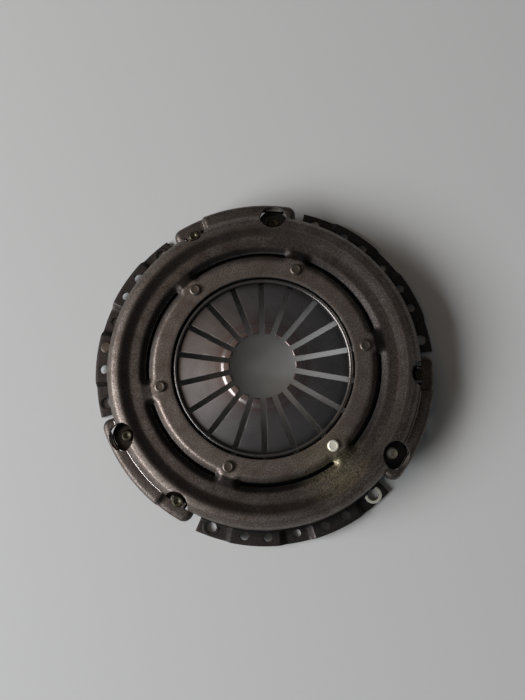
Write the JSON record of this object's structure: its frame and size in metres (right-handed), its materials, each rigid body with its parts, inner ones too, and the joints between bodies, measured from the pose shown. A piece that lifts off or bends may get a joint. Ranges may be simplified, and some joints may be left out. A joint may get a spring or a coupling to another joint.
{
  "type": "clutch pressure plate",
  "caption": "Push-type clutch pressure plate: bolted stamped cover, fingered diaphragm spring on wire rings, and a cast friction ring hung on leaf straps.",
  "frame": {"origin": "clutch axis, in the plane of the face that bolts to the flywheel, which is the lowest plane of the part", "axes": "+Z along the clutch axis from flywheel to release bearing; +X through one dowel hole"},
  "size_m": [0.2773, 0.282, 0.0439],
  "materials": {
    "pressed_cover": "pressed sheet steel, dark bronze-brown phosphate and oil patina, satin",
    "cast_plate": "grey cast iron, ground friction face",
    "spring_steel": "quenched and shot-peened spring steel, smooth dark grey, worn tips",
    "ring_wire": "drawn round wire, satin bright",
    "pivot_rivets": "upset steel rivets, light grey-brown",
    "strap_leaves": "blued spring-steel strip",
    "strap_rivets": "headed steel rivets, dull",
    "balance_plug": "plain steel, dull"
  },
  "bodies": {
    "cover_assembly": {"cover": "pressed_cover", "upper_wire_ring": "ring_wire", "lower_pivot_ring": "ring_wire", "diaphragm_spring": "spring_steel", "balance_rivet": "balance_plug", "pivot_rivet_1": "pivot_rivets", "pivot_rivet_2": "pivot_rivets", "pivot_rivet_3": "pivot_rivets", "pivot_rivet_4": "pivot_rivets", "pivot_rivet_5": "pivot_rivets", "pivot_rivet_6": "pivot_rivets", "strap_1_leaf_1": "strap_leaves", "strap_1_leaf_2": "strap_leaves", "strap_1_leaf_3": "strap_leaves", "strap_2_leaf_1": "strap_leaves", "strap_2_leaf_2": "strap_leaves", "strap_2_leaf_3": "strap_leaves", "strap_3_leaf_1": "strap_leaves", "strap_3_leaf_2": "strap_leaves", "strap_3_leaf_3": "strap_leaves", "strap_1_cover_rivet": "strap_rivets", "strap_2_cover_rivet": "strap_rivets", "strap_3_cover_rivet": "strap_rivets"},
    "plate_assembly": {"pressure_plate": "cast_plate", "strap_1_plate_rivet": "strap_rivets", "strap_2_plate_rivet": "strap_rivets", "strap_3_plate_rivet": "strap_rivets"}
  },
  "joints": [
    {"name": "plate_lift", "type": "slide", "parent": "cover_assembly", "child": "plate_assembly", "axis": [0, 0, 1], "range_m": [0, 0.0042], "stiffness_N_per_m": 20000, "deforming": ["diaphragm_spring", "strap_1_leaf_1", "strap_1_leaf_2", "strap_1_leaf_3", "strap_2_leaf_1", "strap_2_leaf_2", "strap_2_leaf_3", "strap_3_leaf_1", "strap_3_leaf_2", "strap_3_leaf_3"]}
  ]
}
